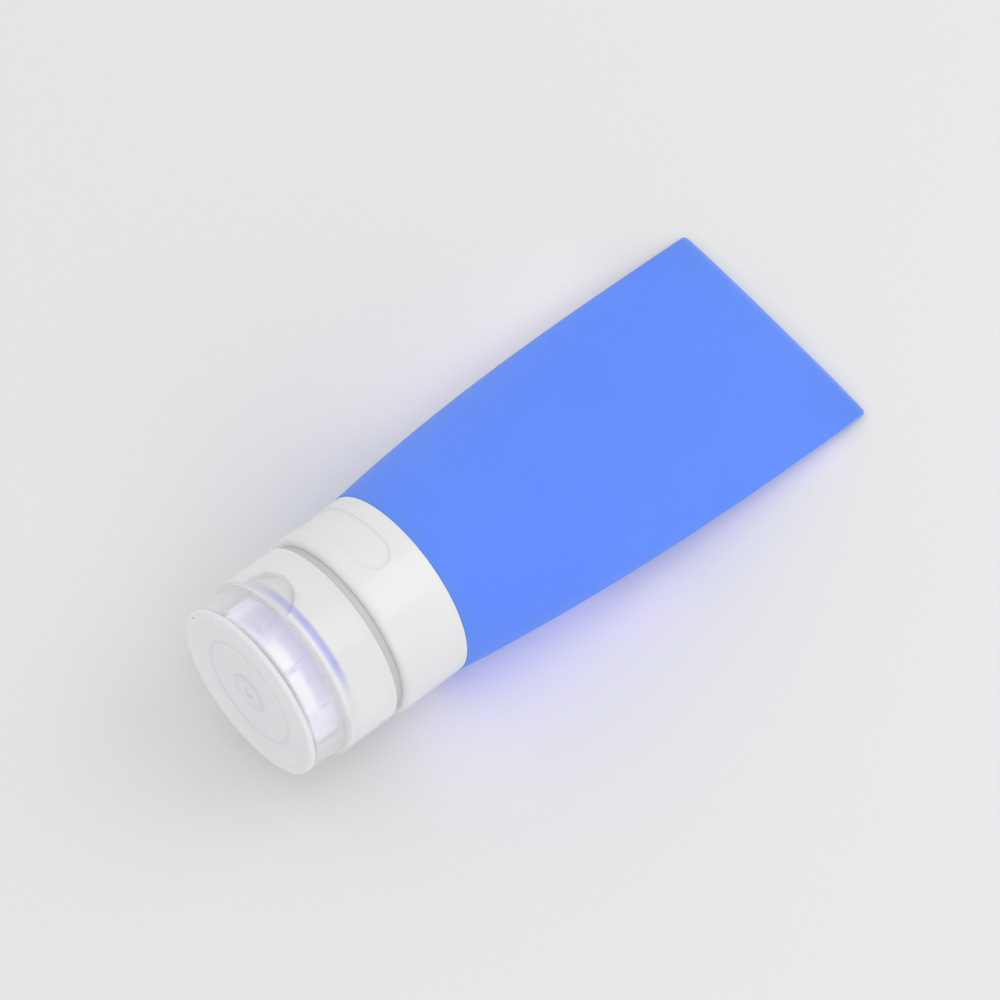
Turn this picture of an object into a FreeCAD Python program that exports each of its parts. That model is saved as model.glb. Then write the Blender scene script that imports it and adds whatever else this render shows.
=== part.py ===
"""A silicone travel bottle lying on its side, as one document of separate pieces.

Every piece is drawn on the bottle's own axis. Along it, "place" counts millimetres
from the collar's back edge towards the cap, and the soft tube runs the other way.
Angles turn about that axis, from the near side of the lying bottle up over the top.
"""
import FreeCAD, Part
import os
import Sketcher

SIZES = (
    # Collar and its blank label field
    ("collar_radius", 20.0),
    ("collar_length", 15.3),
    ("collar_wall", 1.95),
    ("collar_front_round", 1.5),
    ("collar_back_round", 0.3),
    ("field_length", 27.0),
    ("field_width", 7.2),
    ("field_depth", 0.35),
    ("field_angle", 124.5),
    # Soft tube
    ("tube_length", 100.5),
    ("tube_wall", 1.8),
    ("tube_lip", 0.1),
    ("tube_flare", 13.3),
    ("tube_end_height", 2.0),
    ("tube_width_power", 2.75),
    ("tube_corner_round", 0.8),
    ("seal_length", 6.0),
    ("cavity_end_height", 1.0),
    ("shoulder_length", 2.0),
    ("sleeve_length", 13.5),
    ("sleeve_wall", 2.0),
    ("lying_tilt", 7.5),
    # Hard neck that carries the cap
    ("spigot_wall", 1.95),
    ("neck_wall", 2.0),
    ("neck_inset", 2.8),
    ("neck_start", 0.8),
    ("neck_reach", 7.4),
    ("flange_inset", 1.4),
    ("flange_length", 1.7),
    ("bead_place", 5.0),
    ("bead_length", 1.4),
    ("bead_height", 0.4),
    # Sealing washer
    ("washer_length", 0.9),
    ("washer_width", 1.85),
    # Cap base
    ("cap_inset", 0.5),
    ("cap_gap", 0.1),
    ("cap_length", 11.5),
    ("cap_edge_round", 0.4),
    ("thread_room", 0.4),
    ("deck_thickness", 1.7),
    ("moat_depth", 1.6),
    ("rim_width", 3.1),
    ("tower_inset", 5.3),
    ("tower_wall", 1.5),
    ("tower_height", 5.7),
    ("tower_round", 0.8),
    ("tower_roof", 2.8),
    ("orifice_radius", 4.7),
    ("rib_count", 9),
    ("rib_angle", 64.0),
    ("rib_height", 0.9),
    ("rib_thickness", 0.8),
    ("rib_length", 5.2),
    ("notch_angle", 113.0),
    ("notch_radius", 7.2),
    ("notch_lead", 1.5),
    ("notch_depth", 0.9),
    # Valve and the ring that holds it
    ("valve_wall", 1.6),
    ("valve_roof", 0.9),
    ("valve_length", 5.4),
    ("slit_length", 7.0),
    ("slit_width", 0.3),
    ("ring_wall", 1.5),
    # Flip lid
    ("lid_gap", 0.1),
    ("lid_inset", 1.1),
    ("lid_wall", 1.3),
    ("lid_height", 7.5),
    ("lid_roof", 1.2),
    ("lid_round", 0.6),
    ("brim_thickness", 0.6),
    ("plug_radius", 4.0),
    ("plug_length", 1.5),
    ("socket_floor", 0.9),
    # Hinge between cap base and lid
    ("hinge_angle", 293.0),
    ("hinge_inset", 1.5),
    ("hinge_depth", 1.0),
    ("pocket_width", 13.4),
    ("pocket_depth", 2.2),
    ("pocket_clearance", 0.4),
    ("barrel_radius", 0.9),
    ("barrel_length", 5.2),
    ("ear_length", 2.0),
    ("ear_gap", 0.2),
    ("axle_radius", 0.4),
    # Suction disc
    ("disc_inset", 1.16),
    ("disc_thickness", 1.25),
    ("disc_dish", 0.5),
    ("disc_rim_width", 1.1),
    ("disc_slope", 1.2),
    ("disc_fold_inset", 6.94),
    ("disc_fold_width", 0.3),
    ("disc_fold_height", 0.15),
    ("disc_hub_radius", 4.2),
    ("disc_hub_height", 0.2),
    ("disc_gate_radius", 1.0),
    ("stem_radius", 2.0),
    ("stem_length", 0.8),
    ("bulb_radius", 2.65),
    ("bulb_length", 0.9),
    # Fits
    ("fit_gap", 0.05),
    ("running_gap", 0.05),
)

PLACES = (
    # Radii that follow from the driving sizes
    ("tube_mouth", "=2 * (collar_radius + tube_lip)"),
    ("tube_end_width", "=tube_mouth + tube_flare"),
    ("sleeve_radius", "=collar_radius - collar_wall - fit_gap"),
    ("sleeve_bore_radius", "=sleeve_radius - sleeve_wall"),
    ("collar_bore_radius", "=collar_radius - collar_wall"),
    ("spigot_radius", "=sleeve_bore_radius - fit_gap"),
    ("bead_radius", "=spigot_radius + bead_height"),
    ("neck_bore_radius", "=spigot_radius - spigot_wall"),
    ("neck_radius", "=collar_radius - neck_inset"),
    ("mouth_bore_radius", "=neck_radius - neck_wall"),
    ("flange_radius", "=collar_radius - flange_inset"),
    ("washer_radius", "=neck_radius - fit_gap"),
    ("washer_bore_radius", "=washer_radius - washer_width"),
    ("cap_radius", "=collar_radius - cap_inset"),
    ("tower_radius", "=cap_radius - tower_inset"),
    ("lid_radius", "=cap_radius - lid_inset"),
    ("hinge_radius", "=cap_radius - hinge_inset"),
    ("disc_radius", "=cap_radius - disc_inset"),
    ("disc_fold_radius", "=disc_radius - disc_fold_inset"),
    ("cap_bore_radius", "=neck_radius + thread_room"),
    ("rim_bore_radius", "=cap_radius - rim_width"),
    ("tower_bore_radius", "=tower_radius - tower_wall"),
    ("valve_radius", "=tower_bore_radius - fit_gap"),
    ("valve_bore_radius", "=valve_radius - valve_wall"),
    ("ring_radius", "=valve_bore_radius - fit_gap"),
    ("ring_bore_radius", "=ring_radius - ring_wall"),
    ("lid_bore_radius", "=lid_radius - lid_wall"),
    ("stem_hole_radius", "=stem_radius + fit_gap"),
    ("bulb_room_radius", "=bulb_radius + fit_gap"),
    ("bulb_tip_radius", "=stem_radius - fit_gap"),
    ("disc_edge_radius", "=disc_radius - disc_rim_width"),
    ("disc_face_radius", "=disc_edge_radius - disc_slope"),
    ("fold_outer_radius", "=disc_fold_radius + disc_fold_width"),
    ("fold_inner_radius", "=disc_fold_radius - disc_fold_width"),
    ("on_axis", "=0"),
    # Places along the axis, from the collar's back edge to the suction disc
    ("collar_back", "=0"),
    ("bead_end", "=bead_place + bead_length"),
    ("flange_back", "=sleeve_length + fit_gap"),
    ("flange_front", "=collar_length + flange_length"),
    ("neck_top", "=flange_front + neck_reach"),
    ("cap_back", "=flange_front + cap_gap"),
    ("deck_back", "=neck_top + washer_length"),
    ("cap_front", "=cap_back + cap_length"),
    ("moat_floor", "=cap_front - moat_depth"),
    ("tower_top", "=cap_front + tower_height"),
    ("tower_ceiling", "=tower_top - tower_roof"),
    ("valve_top", "=tower_ceiling - fit_gap"),
    ("valve_ceiling", "=valve_top - valve_roof"),
    ("valve_back", "=valve_top - valve_length"),
    ("ring_top", "=valve_ceiling - fit_gap"),
    ("lid_back", "=cap_front + lid_gap"),
    ("brim_front", "=lid_back + brim_thickness"),
    ("lid_front", "=lid_back + lid_height"),
    ("lid_ceiling", "=lid_front - lid_roof"),
    ("plug_tip", "=lid_ceiling - plug_length"),
    ("socket_end", "=plug_tip + socket_floor"),
    ("socket_step", "=lid_front - stem_length"),
    ("bulb_front", "=socket_step - fit_gap"),
    ("bulb_widest", "=bulb_front - bulb_length / 2"),
    ("bulb_tip", "=bulb_front - bulb_length"),
    ("disc_front", "=lid_front + disc_thickness"),
    ("disc_face", "=disc_front - disc_dish"),
    ("fold_face", "=disc_face + disc_fold_height"),
    ("hub_face", "=disc_face + disc_hub_height"),
    ("hinge_place", "=cap_front - hinge_depth"),
    ("pocket_floor", "=cap_front - pocket_depth"),
    ("pocket_back", "=hinge_radius - barrel_radius - pocket_clearance"),
    # Where the bottle's axis meets the collar's back edge once it lies down
    ("tube_end_drop", "=tube_mouth / 2 - tube_end_height"
     " - tube_length * tan(lying_tilt * 1 deg)"),
    ("tube_end_reach", "=tube_length * cos(lying_tilt * 1 deg)"
     " - tube_end_drop * sin(lying_tilt * 1 deg)"),
    ("disc_edge_reach", "=disc_front * cos(lying_tilt * 1 deg)"
     " + disc_radius * sin(lying_tilt * 1 deg)"),
    ("lying_place", "=(disc_edge_reach - tube_end_reach) / 2"),
    ("lying_height", "=tube_mouth / 2 * cos(lying_tilt * 1 deg)"),
)

TUBE_STATIONS = (0.0, 0.04, 0.12, 0.26, 0.44, 0.64, 0.84, 1.0)
SAME_PLACE = 1e-4

doc = FreeCAD.newDocument("TravelBottle")


def fill_sheet():
    """Write the driving sizes as plain numbers and the derived places as formulas."""
    sheet = doc.addObject("Spreadsheet::Sheet", "Sizes")
    for row, (alias, value) in enumerate(SIZES + PLACES, start=1):
        sheet.set("A%d" % row, alias)
        sheet.set("B%d" % row, str(value))
        sheet.setAlias("B%d" % row, alias)
    doc.recompute()
    return sheet


SHEET = fill_sheet()


def size(alias):
    """A size as a number, read back from the sheet."""
    return float(SHEET.get(alias))


def bind(item, **properties):
    """Tie properties of an object to formulas of the sheet's names."""
    for prop, formula in properties.items():
        item.setExpression(prop.replace("__", "."), formula)
    return item


def on_ring(item, angle, place="0", across="0", out="0", quarters=0):
    """Tie an item to an angle round the axis: x runs along it, y across and z straight out."""
    turn = "(%s - 90)" % angle
    slope = {"across": across, "out": out, "turn": turn}
    item.Placement = FreeCAD.Placement(
        FreeCAD.Vector(), FreeCAD.Rotation(FreeCAD.Vector(1, 0, 0), 1.0))
    item.setExpression("Placement.Rotation.Angle", "%s + %d" % (turn, 90 * quarters))
    item.setExpression("Placement.Base.x", place)
    item.setExpression("Placement.Base.y", "(%(across)s) * cos(%(turn)s * 1 deg)"
                       " - (%(out)s) * sin(%(turn)s * 1 deg)" % slope)
    item.setExpression("Placement.Base.z", "(%(across)s) * sin(%(turn)s * 1 deg)"
                       " + (%(out)s) * cos(%(turn)s * 1 deg)" % slope)
    return item


def turned(name, outline):
    """A piece turned about the axis from a closed outline of (place, radius) names."""
    body = doc.addObject("PartDesign::Body", name)
    sketch = body.newObject("Sketcher::SketchObject", name + "_outline")
    planes = [plane for plane in body.Origin.OriginFeatures if plane.Role == "XZ_Plane"]
    sketch.AttachmentSupport = [(planes[0], "")]
    sketch.MapMode = "FlatFace"
    corners = [FreeCAD.Vector(size(place), size(radius), 0) for place, radius in outline]
    count = len(corners)
    for index in range(count):
        sketch.addGeometry(Part.LineSegment(corners[index], corners[(index + 1) % count]))
    for index in range(count):
        sketch.addConstraint(Sketcher.Constraint("Coincident", index, 2, (index + 1) % count, 1))
    for index, (place, radius) in enumerate(outline):
        along = sketch.addConstraint(
            Sketcher.Constraint("DistanceX", -1, 1, index, 1, corners[index].x))
        sketch.setExpression("Constraints[%d]" % along, "Sizes." + place)
        if radius == "on_axis":
            sketch.addConstraint(Sketcher.Constraint("PointOnObject", index, 1, -1))
            continue
        out = sketch.addConstraint(
            Sketcher.Constraint("DistanceY", -1, 1, index, 1, corners[index].y))
        sketch.setExpression("Constraints[%d]" % out, "Sizes." + radius)
    revolution = body.newObject("PartDesign::Revolution", name + "_turned")
    revolution.Profile = sketch
    revolution.ReferenceAxis = (sketch, ["H_Axis"])
    revolution.Angle = 360.0
    doc.recompute()
    return body


def round_edges(body, radius, circles):
    """Round the circular edges of a turned body that lie at the given (place, radius)."""
    base = body.Tip
    names = []
    for index, edge in enumerate(base.Shape.Edges, start=1):
        if not isinstance(edge.Curve, Part.Circle):
            continue
        for place, distance in circles:
            near = abs(edge.Curve.Center.x - size(place)) < SAME_PLACE
            if near and abs(edge.Curve.Radius - size(distance)) < SAME_PLACE:
                names.append("Edge%d" % index)
    fillet = body.newObject("PartDesign::Fillet", body.Name + "_" + radius)
    fillet.Base = (base, names)
    fillet.setExpression("Radius", "Sizes." + radius)
    body.Tip = fillet
    doc.recompute()
    return body


def solid(kind, name, **formulas):
    """A primitive with its sizes tied to the sheet."""
    return bind(doc.addObject("Part::" + kind, name), **formulas)


def rod(name, radius, start, length):
    """A cylinder on the axis, from a place towards the cap."""
    item = solid("Cylinder", name, Radius=radius, Height=length)
    item.Placement = FreeCAD.Placement(
        FreeCAD.Vector(), FreeCAD.Rotation(FreeCAD.Vector(0, 1, 0), 90.0))
    return bind(item, Placement__Base__x=start)


def crossbar(name, radius, length, middle="0"):
    """A cylinder along the hinge's line, centred at a distance from the hinge's middle."""
    item = solid("Cylinder", name, Radius=radius, Height=length)
    return on_ring(item, "Sizes.hinge_angle", "Sizes.hinge_place",
                   "%s + (%s) / 2" % (middle, length), "Sizes.hinge_radius", 1)


def joined(name, pieces):
    """One solid from several that overlap."""
    fuse = doc.addObject("Part::MultiFuse", name)
    fuse.Shapes = pieces
    fuse.Refine = True
    return fuse


def cut(name, base, tool):
    """What is left of the base once the tool is taken from it."""
    item = doc.addObject("Part::Cut", name)
    item.Base = base
    item.Tool = tool
    item.Refine = True
    return item


def common(name, base, tool):
    """What two solids share."""
    item = doc.addObject("Part::Common", name)
    item.Base = base
    item.Tool = tool
    return item


def half_height_at(share):
    """The tube's half height: it falls evenly from the mouth to the pinched end."""
    return "(Sizes.tube_mouth + (Sizes.tube_end_height - Sizes.tube_mouth) * %g) / 2" % share


def oval(name, share, half_width, half_height):
    """A cross-section of the tube, concentric with the skin that lies on the ground line."""
    item = doc.addObject("Part::Ellipse", name)
    item.Placement = FreeCAD.Placement(
        FreeCAD.Vector(), FreeCAD.Rotation(FreeCAD.Vector(1, 1, 1), 120.0))
    ground = "%g * Sizes.tube_length * tan(Sizes.lying_tilt * 1 deg)" % share
    return bind(item, MajorRadius=half_width, MinorRadius=half_height,
                Placement__Base__x="-%g * Sizes.tube_length" % share,
                Placement__Base__z="%s - Sizes.tube_mouth / 2 + %s" % (ground, half_height_at(share)))


def half_width_at(share):
    """The tube's half width: round at the collar, swelling early, flat at the end."""
    return "(Sizes.tube_mouth + Sizes.tube_flare" \
        " * (1 - (1 - %g) ^ Sizes.tube_width_power)) / 2" % share


def loft(name, sections):
    """A smooth closed skin over the sections."""
    item = doc.addObject("Part::Loft", name)
    item.Sections = sections
    item.Solid = True
    item.Ruled = False
    return item


def make_tube_body():
    """The soft tube: round at the collar, pinched flat at the end, hollow between."""
    skins = [oval("skin_%d" % index, share, half_width_at(share), half_height_at(share))
             for index, share in enumerate(TUBE_STATIONS)]
    first = size("shoulder_length") / size("tube_length")
    last = 1 - size("seal_length") / size("tube_length")
    hollows = []
    for index, step in enumerate(TUBE_STATIONS):
        share = first + (last - first) * step
        half_height = "(%s - Sizes.tube_wall) * (1 - %g) + Sizes.cavity_end_height / 2 * %g" \
            % (half_height_at(first), step, step)
        hollows.append(oval("hollow_%d" % index, share,
                            half_width_at(share) + " - Sizes.tube_wall", half_height))
    blank = solid("Box", "tube_blank",
                  Length="1.1 * Sizes.tube_length",
                  Width="Sizes.tube_end_width",
                  Height="2 * Sizes.tube_mouth",
                  Placement__Base__x="-Sizes.tube_length",
                  Placement__Base__y="-Sizes.tube_end_width / 2",
                  Placement__Base__z="-Sizes.tube_mouth")
    doc.recompute()
    rounded = doc.addObject("Part::Fillet", "tube_blank_rounded")
    rounded.Base = blank
    rounded.Edges = [(index, size("tube_corner_round"), size("tube_corner_round"))
                     for index, edge in enumerate(blank.Shape.Edges, start=1)
                     if edge.BoundBox.ZLength > size("tube_mouth")
                     and edge.BoundBox.XMax < -size("tube_length") / 2]
    outline = common("tube_outline", loft("tube_outside", skins), rounded)
    sleeve = rod("sleeve", "Sizes.sleeve_radius", "-Sizes.shoulder_length / 2",
                 "Sizes.sleeve_length + Sizes.shoulder_length / 2")
    bore = rod("sleeve_bore", "Sizes.sleeve_bore_radius", "-2 * Sizes.shoulder_length",
               "2 * (Sizes.sleeve_length + Sizes.shoulder_length)")
    groove = rod("sleeve_groove", "Sizes.bead_radius + Sizes.fit_gap",
                 "Sizes.bead_place - Sizes.fit_gap", "Sizes.bead_length + 2 * Sizes.fit_gap")
    return cut("tube_body", joined("tube_solid", [outline, sleeve]),
               joined("tube_hollow", [loft("tube_inside", hollows), bore, groove]))


def make_neck_spout():
    """The hard neck: a spigot inside the soft sleeve, a flange, and the cap's neck."""
    return turned("neck_spout", (
        ("neck_start", "neck_bore_radius"),
        ("neck_start", "spigot_radius"),
        ("bead_place", "spigot_radius"),
        ("bead_place", "bead_radius"),
        ("bead_end", "bead_radius"),
        ("bead_end", "spigot_radius"),
        ("flange_back", "spigot_radius"),
        ("flange_back", "sleeve_radius"),
        ("collar_length", "sleeve_radius"),
        ("collar_length", "flange_radius"),
        ("flange_front", "flange_radius"),
        ("flange_front", "neck_radius"),
        ("neck_top", "neck_radius"),
        ("neck_top", "mouth_bore_radius"),
        ("collar_length", "mouth_bore_radius"),
        ("collar_length", "neck_bore_radius")))


def make_collar():
    """The white collar, with its blank label field sunk into the outside."""
    band = turned("collar_band", (
        ("collar_back", "collar_bore_radius"),
        ("collar_back", "collar_radius"),
        ("collar_length", "collar_radius"),
        ("collar_length", "collar_bore_radius")))
    round_edges(band, "collar_front_round", [("collar_length", "collar_radius")])
    round_edges(band, "collar_back_round", [("collar_back", "collar_radius")])

    beyond = "Sizes.collar_radius + Sizes.collar_wall"
    bar = solid("Box", "field_bar", Length="Sizes.field_width",
                Width="Sizes.field_length - Sizes.field_width", Height=beyond)
    on_ring(bar, "Sizes.field_angle", "(Sizes.collar_length - Sizes.field_width) / 2",
            "(Sizes.field_width - Sizes.field_length) / 2")
    ends = [solid("Cylinder", name, Radius="Sizes.field_width / 2", Height=beyond)
            for name in ("field_end_near", "field_end_far")]
    for end, side in zip(ends, ("", "-")):
        on_ring(end, "Sizes.field_angle", "Sizes.collar_length / 2",
                side + "(Sizes.field_length - Sizes.field_width) / 2")
    stadium = joined("field_stadium", [bar] + ends)
    core = rod("field_core", "Sizes.collar_radius - Sizes.field_depth", "0",
               "Sizes.collar_length")
    return cut("collar", band, cut("field", stadium, core))


def make_sealing_washer():
    """The soft washer between the neck's rim and the cap's deck."""
    return turned("sealing_washer", (
        ("neck_top", "washer_bore_radius"),
        ("neck_top", "washer_radius"),
        ("deck_back", "washer_radius"),
        ("deck_back", "washer_bore_radius")))


def make_cap_base():
    """The clear cap base: skirt, deck, ribbed tower with the orifice, pocket and notch."""
    shell = turned("cap_shell", (
        ("cap_back", "cap_bore_radius"),
        ("cap_back", "cap_radius"),
        ("cap_front", "cap_radius"),
        ("cap_front", "rim_bore_radius"),
        ("moat_floor", "rim_bore_radius"),
        ("moat_floor", "tower_radius"),
        ("tower_top", "tower_radius"),
        ("tower_top", "orifice_radius"),
        ("tower_ceiling", "orifice_radius"),
        ("tower_ceiling", "tower_bore_radius"),
        ("deck_back", "tower_bore_radius"),
        ("deck_back", "cap_bore_radius")))
    round_edges(shell, "cap_edge_round",
                [("cap_back", "cap_radius"), ("cap_front", "cap_radius")])
    round_edges(shell, "tower_round", [("tower_top", "tower_radius")])

    ribs = []
    for index in range(int(size("rib_count"))):
        rib = solid("Box", "tower_rib_%d" % index,
                    Length="Sizes.rib_length + Sizes.fit_gap",
                    Width="Sizes.rib_thickness",
                    Height="Sizes.rib_height + Sizes.tower_wall / 2")
        ribs.append(on_ring(rib, "Sizes.rib_angle + %d * 360 / Sizes.rib_count" % index,
                            "Sizes.moat_floor - Sizes.fit_gap", "-Sizes.rib_thickness / 2",
                            "Sizes.tower_radius - Sizes.tower_wall / 2"))
    pocket = solid("Box", "hinge_pocket", Length="2 * Sizes.pocket_depth",
                   Width="Sizes.pocket_width", Height="Sizes.cap_radius")
    on_ring(pocket, "Sizes.hinge_angle", "Sizes.pocket_floor", "-Sizes.pocket_width / 2",
            "Sizes.pocket_back")
    cutter = solid("Cylinder", "notch_cutter", Radius="Sizes.notch_radius",
                   Height="Sizes.cap_radius")
    on_ring(cutter, "Sizes.notch_angle", "Sizes.cap_front + Sizes.notch_lead", "0",
            "Sizes.rim_bore_radius")
    notch = cut("finger_notch", cutter,
                rod("notch_core", "Sizes.cap_radius - Sizes.notch_depth", "Sizes.cap_back",
                    "Sizes.cap_front - Sizes.cap_back"))
    milled = cut("cap_milled", joined("cap_ribbed", [shell] + ribs),
                 joined("cap_recesses", [pocket, notch]))

    ears = []
    for name, side in (("ear_near", "-"), ("ear_far", "")):
        middle = side + "(Sizes.barrel_length / 2 + Sizes.ear_gap + Sizes.ear_length / 2)"
        ears.append(crossbar(name + "_round", "Sizes.barrel_radius", "Sizes.ear_length", middle))
        foot = solid("Box", name + "_foot",
                     Length="Sizes.pocket_depth - Sizes.hinge_depth + Sizes.fit_gap",
                     Width="Sizes.ear_length",
                     Height="2 * Sizes.barrel_radius + Sizes.pocket_clearance + Sizes.fit_gap")
        ears.append(on_ring(foot, "Sizes.hinge_angle", "Sizes.pocket_floor - Sizes.fit_gap",
                            middle + " - Sizes.ear_length / 2",
                            "Sizes.pocket_back - Sizes.fit_gap"))
    bores = crossbar("axle_bores", "Sizes.axle_radius + Sizes.running_gap",
                     "Sizes.barrel_length + 2 * Sizes.ear_gap + 2 * Sizes.ear_length")
    return cut("cap_base", joined("cap_with_ears", [milled] + ears), bores)


def make_valve():
    """The soft valve: a cup in the tower, its roof crossed by two slits."""
    cup = turned("valve_cup", (
        ("valve_back", "valve_bore_radius"),
        ("valve_back", "valve_radius"),
        ("valve_top", "valve_radius"),
        ("valve_top", "on_axis"),
        ("valve_ceiling", "on_axis"),
        ("valve_ceiling", "valve_bore_radius")))
    slits = []
    for name, turn in (("slit_rising", 45), ("slit_falling", 135)):
        slit = solid("Box", name, Length="3 * Sizes.valve_roof",
                     Width="Sizes.slit_length", Height="Sizes.slit_width")
        slits.append(on_ring(slit, "Sizes.hinge_angle + %d" % turn,
                             "Sizes.valve_ceiling - Sizes.valve_roof",
                             "-Sizes.slit_length / 2", "-Sizes.slit_width / 2"))
    return cut("valve", cup, joined("slits", slits))


def make_valve_ring():
    """The hard ring that holds the valve's wall against the tower."""
    return turned("valve_ring", (
        ("valve_back", "ring_bore_radius"),
        ("valve_back", "ring_radius"),
        ("ring_top", "ring_radius"),
        ("ring_top", "ring_bore_radius")))


def make_flip_lid():
    """The clear lid: brim, wall, roof, plug, and its half of the hinge."""
    shell = turned("lid_shell", (
        ("plug_tip", "on_axis"),
        ("plug_tip", "plug_radius"),
        ("lid_ceiling", "plug_radius"),
        ("lid_ceiling", "lid_bore_radius"),
        ("lid_back", "lid_bore_radius"),
        ("lid_back", "cap_radius"),
        ("brim_front", "cap_radius"),
        ("brim_front", "lid_radius"),
        ("lid_front", "lid_radius"),
        ("lid_front", "stem_hole_radius"),
        ("socket_step", "stem_hole_radius"),
        ("socket_step", "bulb_room_radius"),
        ("socket_end", "bulb_room_radius"),
        ("socket_end", "on_axis")))
    round_edges(shell, "lid_round", [("lid_front", "lid_radius")])

    heel = solid("Box", "heel_room", Length="3 * Sizes.brim_thickness",
                 Width="Sizes.pocket_width", Height="Sizes.cap_radius")
    on_ring(heel, "Sizes.hinge_angle", "Sizes.lid_back - Sizes.brim_thickness",
            "-Sizes.pocket_width / 2", "Sizes.lid_radius")
    trimmed = cut("lid_trimmed", shell, heel)
    barrel = crossbar("lid_barrel", "Sizes.barrel_radius", "Sizes.barrel_length")
    axle = crossbar("lid_axle", "Sizes.axle_radius",
                    "Sizes.barrel_length + 2 * Sizes.ear_length")
    web = solid("Box", "barrel_web",
                Length="Sizes.hinge_depth + Sizes.lid_gap + Sizes.brim_thickness / 2",
                Width="Sizes.barrel_length",
                Height="Sizes.barrel_radius + Sizes.lid_radius - Sizes.hinge_radius")
    on_ring(web, "Sizes.hinge_angle", "Sizes.hinge_place", "-Sizes.barrel_length / 2",
            "Sizes.hinge_radius - Sizes.barrel_radius")
    return joined("flip_lid", [trimmed, barrel, axle, web])


def make_suction_disc():
    """The soft clear disc on the lid, held by its stem and bulb in the lid's socket."""
    return turned("suction_disc", (
        ("bulb_tip", "on_axis"),
        ("bulb_tip", "bulb_tip_radius"),
        ("bulb_widest", "bulb_radius"),
        ("bulb_front", "bulb_radius"),
        ("bulb_front", "stem_radius"),
        ("lid_front", "stem_radius"),
        ("lid_front", "disc_radius"),
        ("disc_front", "disc_radius"),
        ("disc_front", "disc_edge_radius"),
        ("disc_face", "disc_face_radius"),
        ("disc_face", "fold_outer_radius"),
        ("fold_face", "disc_fold_radius"),
        ("disc_face", "fold_inner_radius"),
        ("disc_face", "disc_hub_radius"),
        ("hub_face", "disc_hub_radius"),
        ("hub_face", "disc_gate_radius"),
        ("disc_face", "disc_gate_radius"),
        ("disc_face", "on_axis")))


def lay_down(item):
    """Lay a piece along X, tube to +X, so that the tube's lowest line is on the ground.

    Half a turn about an axis that leans from Z by half the tilt does both at once.
    """
    item.Placement = FreeCAD.Placement(
        FreeCAD.Vector(), FreeCAD.Rotation(FreeCAD.Vector(0.1, 0, 1), 180.0))
    lean = "Sizes.lying_tilt / 2 * 1 deg"
    return bind(item, Placement__Base__x="Sizes.lying_place",
                Placement__Base__z="Sizes.lying_height",
                Placement__Rotation__Axis__x="sin(%s)" % lean,
                Placement__Rotation__Axis__z="cos(%s)" % lean)


def check(item):
    """Stop if an object of the document failed."""
    if "Invalid" in item.State or "Error" in item.State:
        raise RuntimeError("%s failed: %s" % (item.Label, item.State))


pieces = [
    make_tube_body(),
    make_neck_spout(),
    make_collar(),
    make_sealing_washer(),
    make_cap_base(),
    make_valve(),
    make_valve_ring(),
    make_flip_lid(),
    make_suction_disc(),
]
doc.recompute()
for piece in pieces:
    piece.Label = piece.Name
    lay_down(piece)
doc.recompute()

for item in doc.Objects:
    check(item)
os.makedirs("parts", exist_ok=True)
for piece in pieces:
    shape = piece.Shape
    if shape.isNull() or not shape.isValid() or len(shape.Solids) != 1:
        raise RuntimeError("%s has no single valid solid" % piece.Label)
    shape.exportStep("parts/%s.step" % piece.Label)
    box = shape.BoundBox
    print("%-15s volume %9.2f mm3, x %7.2f to %7.2f, y %6.2f to %6.2f, z %6.2f to %6.2f" % (
        piece.Label, shape.Volume, box.XMin, box.XMax, box.YMin, box.YMax, box.ZMin, box.ZMax))
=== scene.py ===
# %% [markdown]
# # A silicone travel bottle
#
# The bottle lies on its side: a soft blue tube pinched flat at one end, a glossy
# white collar round its mouth, and a clear flip-top cap with a suction disc. Apart from
# the tube and the small parts of the hinge, every piece is round about one axis. So most
# of this lesson is about one idea: a profile turned about an axis, with small changes as
# it goes round.

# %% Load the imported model
import bpy
import bmesh
import numpy as np
from mathutils import Matrix


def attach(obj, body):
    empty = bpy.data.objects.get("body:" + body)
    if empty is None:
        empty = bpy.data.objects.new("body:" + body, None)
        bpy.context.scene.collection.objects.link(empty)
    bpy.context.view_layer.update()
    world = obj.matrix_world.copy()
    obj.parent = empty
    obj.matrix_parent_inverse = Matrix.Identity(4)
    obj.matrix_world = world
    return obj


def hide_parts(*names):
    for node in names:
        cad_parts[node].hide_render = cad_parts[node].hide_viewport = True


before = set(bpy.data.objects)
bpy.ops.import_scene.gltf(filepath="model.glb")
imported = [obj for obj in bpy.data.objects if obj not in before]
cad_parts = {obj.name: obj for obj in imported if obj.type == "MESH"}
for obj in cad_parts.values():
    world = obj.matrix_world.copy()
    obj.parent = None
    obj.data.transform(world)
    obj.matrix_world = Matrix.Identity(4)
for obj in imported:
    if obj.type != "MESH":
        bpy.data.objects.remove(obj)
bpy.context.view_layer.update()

# %% [markdown]
# ## The bottle's own axis
#
# The bottle rests on the collar's edge and on the flat end of the tube, so its axis
# rises a little towards the cap. All round pieces are described by three numbers in
# millimetres and degrees: the place along the axis, counted from the collar's back
# edge towards the cap, the radius, and the angle, which is 0 on the side near the
# viewer and 90 on top. One function turns these into points.

# %% Place, radius and angle to points
LYING_TILT = np.radians(7.5)
BACK_EDGE = np.array([-0.02974061, 0.0, 0.01992804])
TO_CAP = np.array([-np.cos(LYING_TILT), 0.0, np.sin(LYING_TILT)])
NEAR_SIDE = np.array([0.0, -1.0, 0.0])
STRAIGHT_UP = np.array([np.sin(LYING_TILT), 0.0, np.cos(LYING_TILT)])


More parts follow.
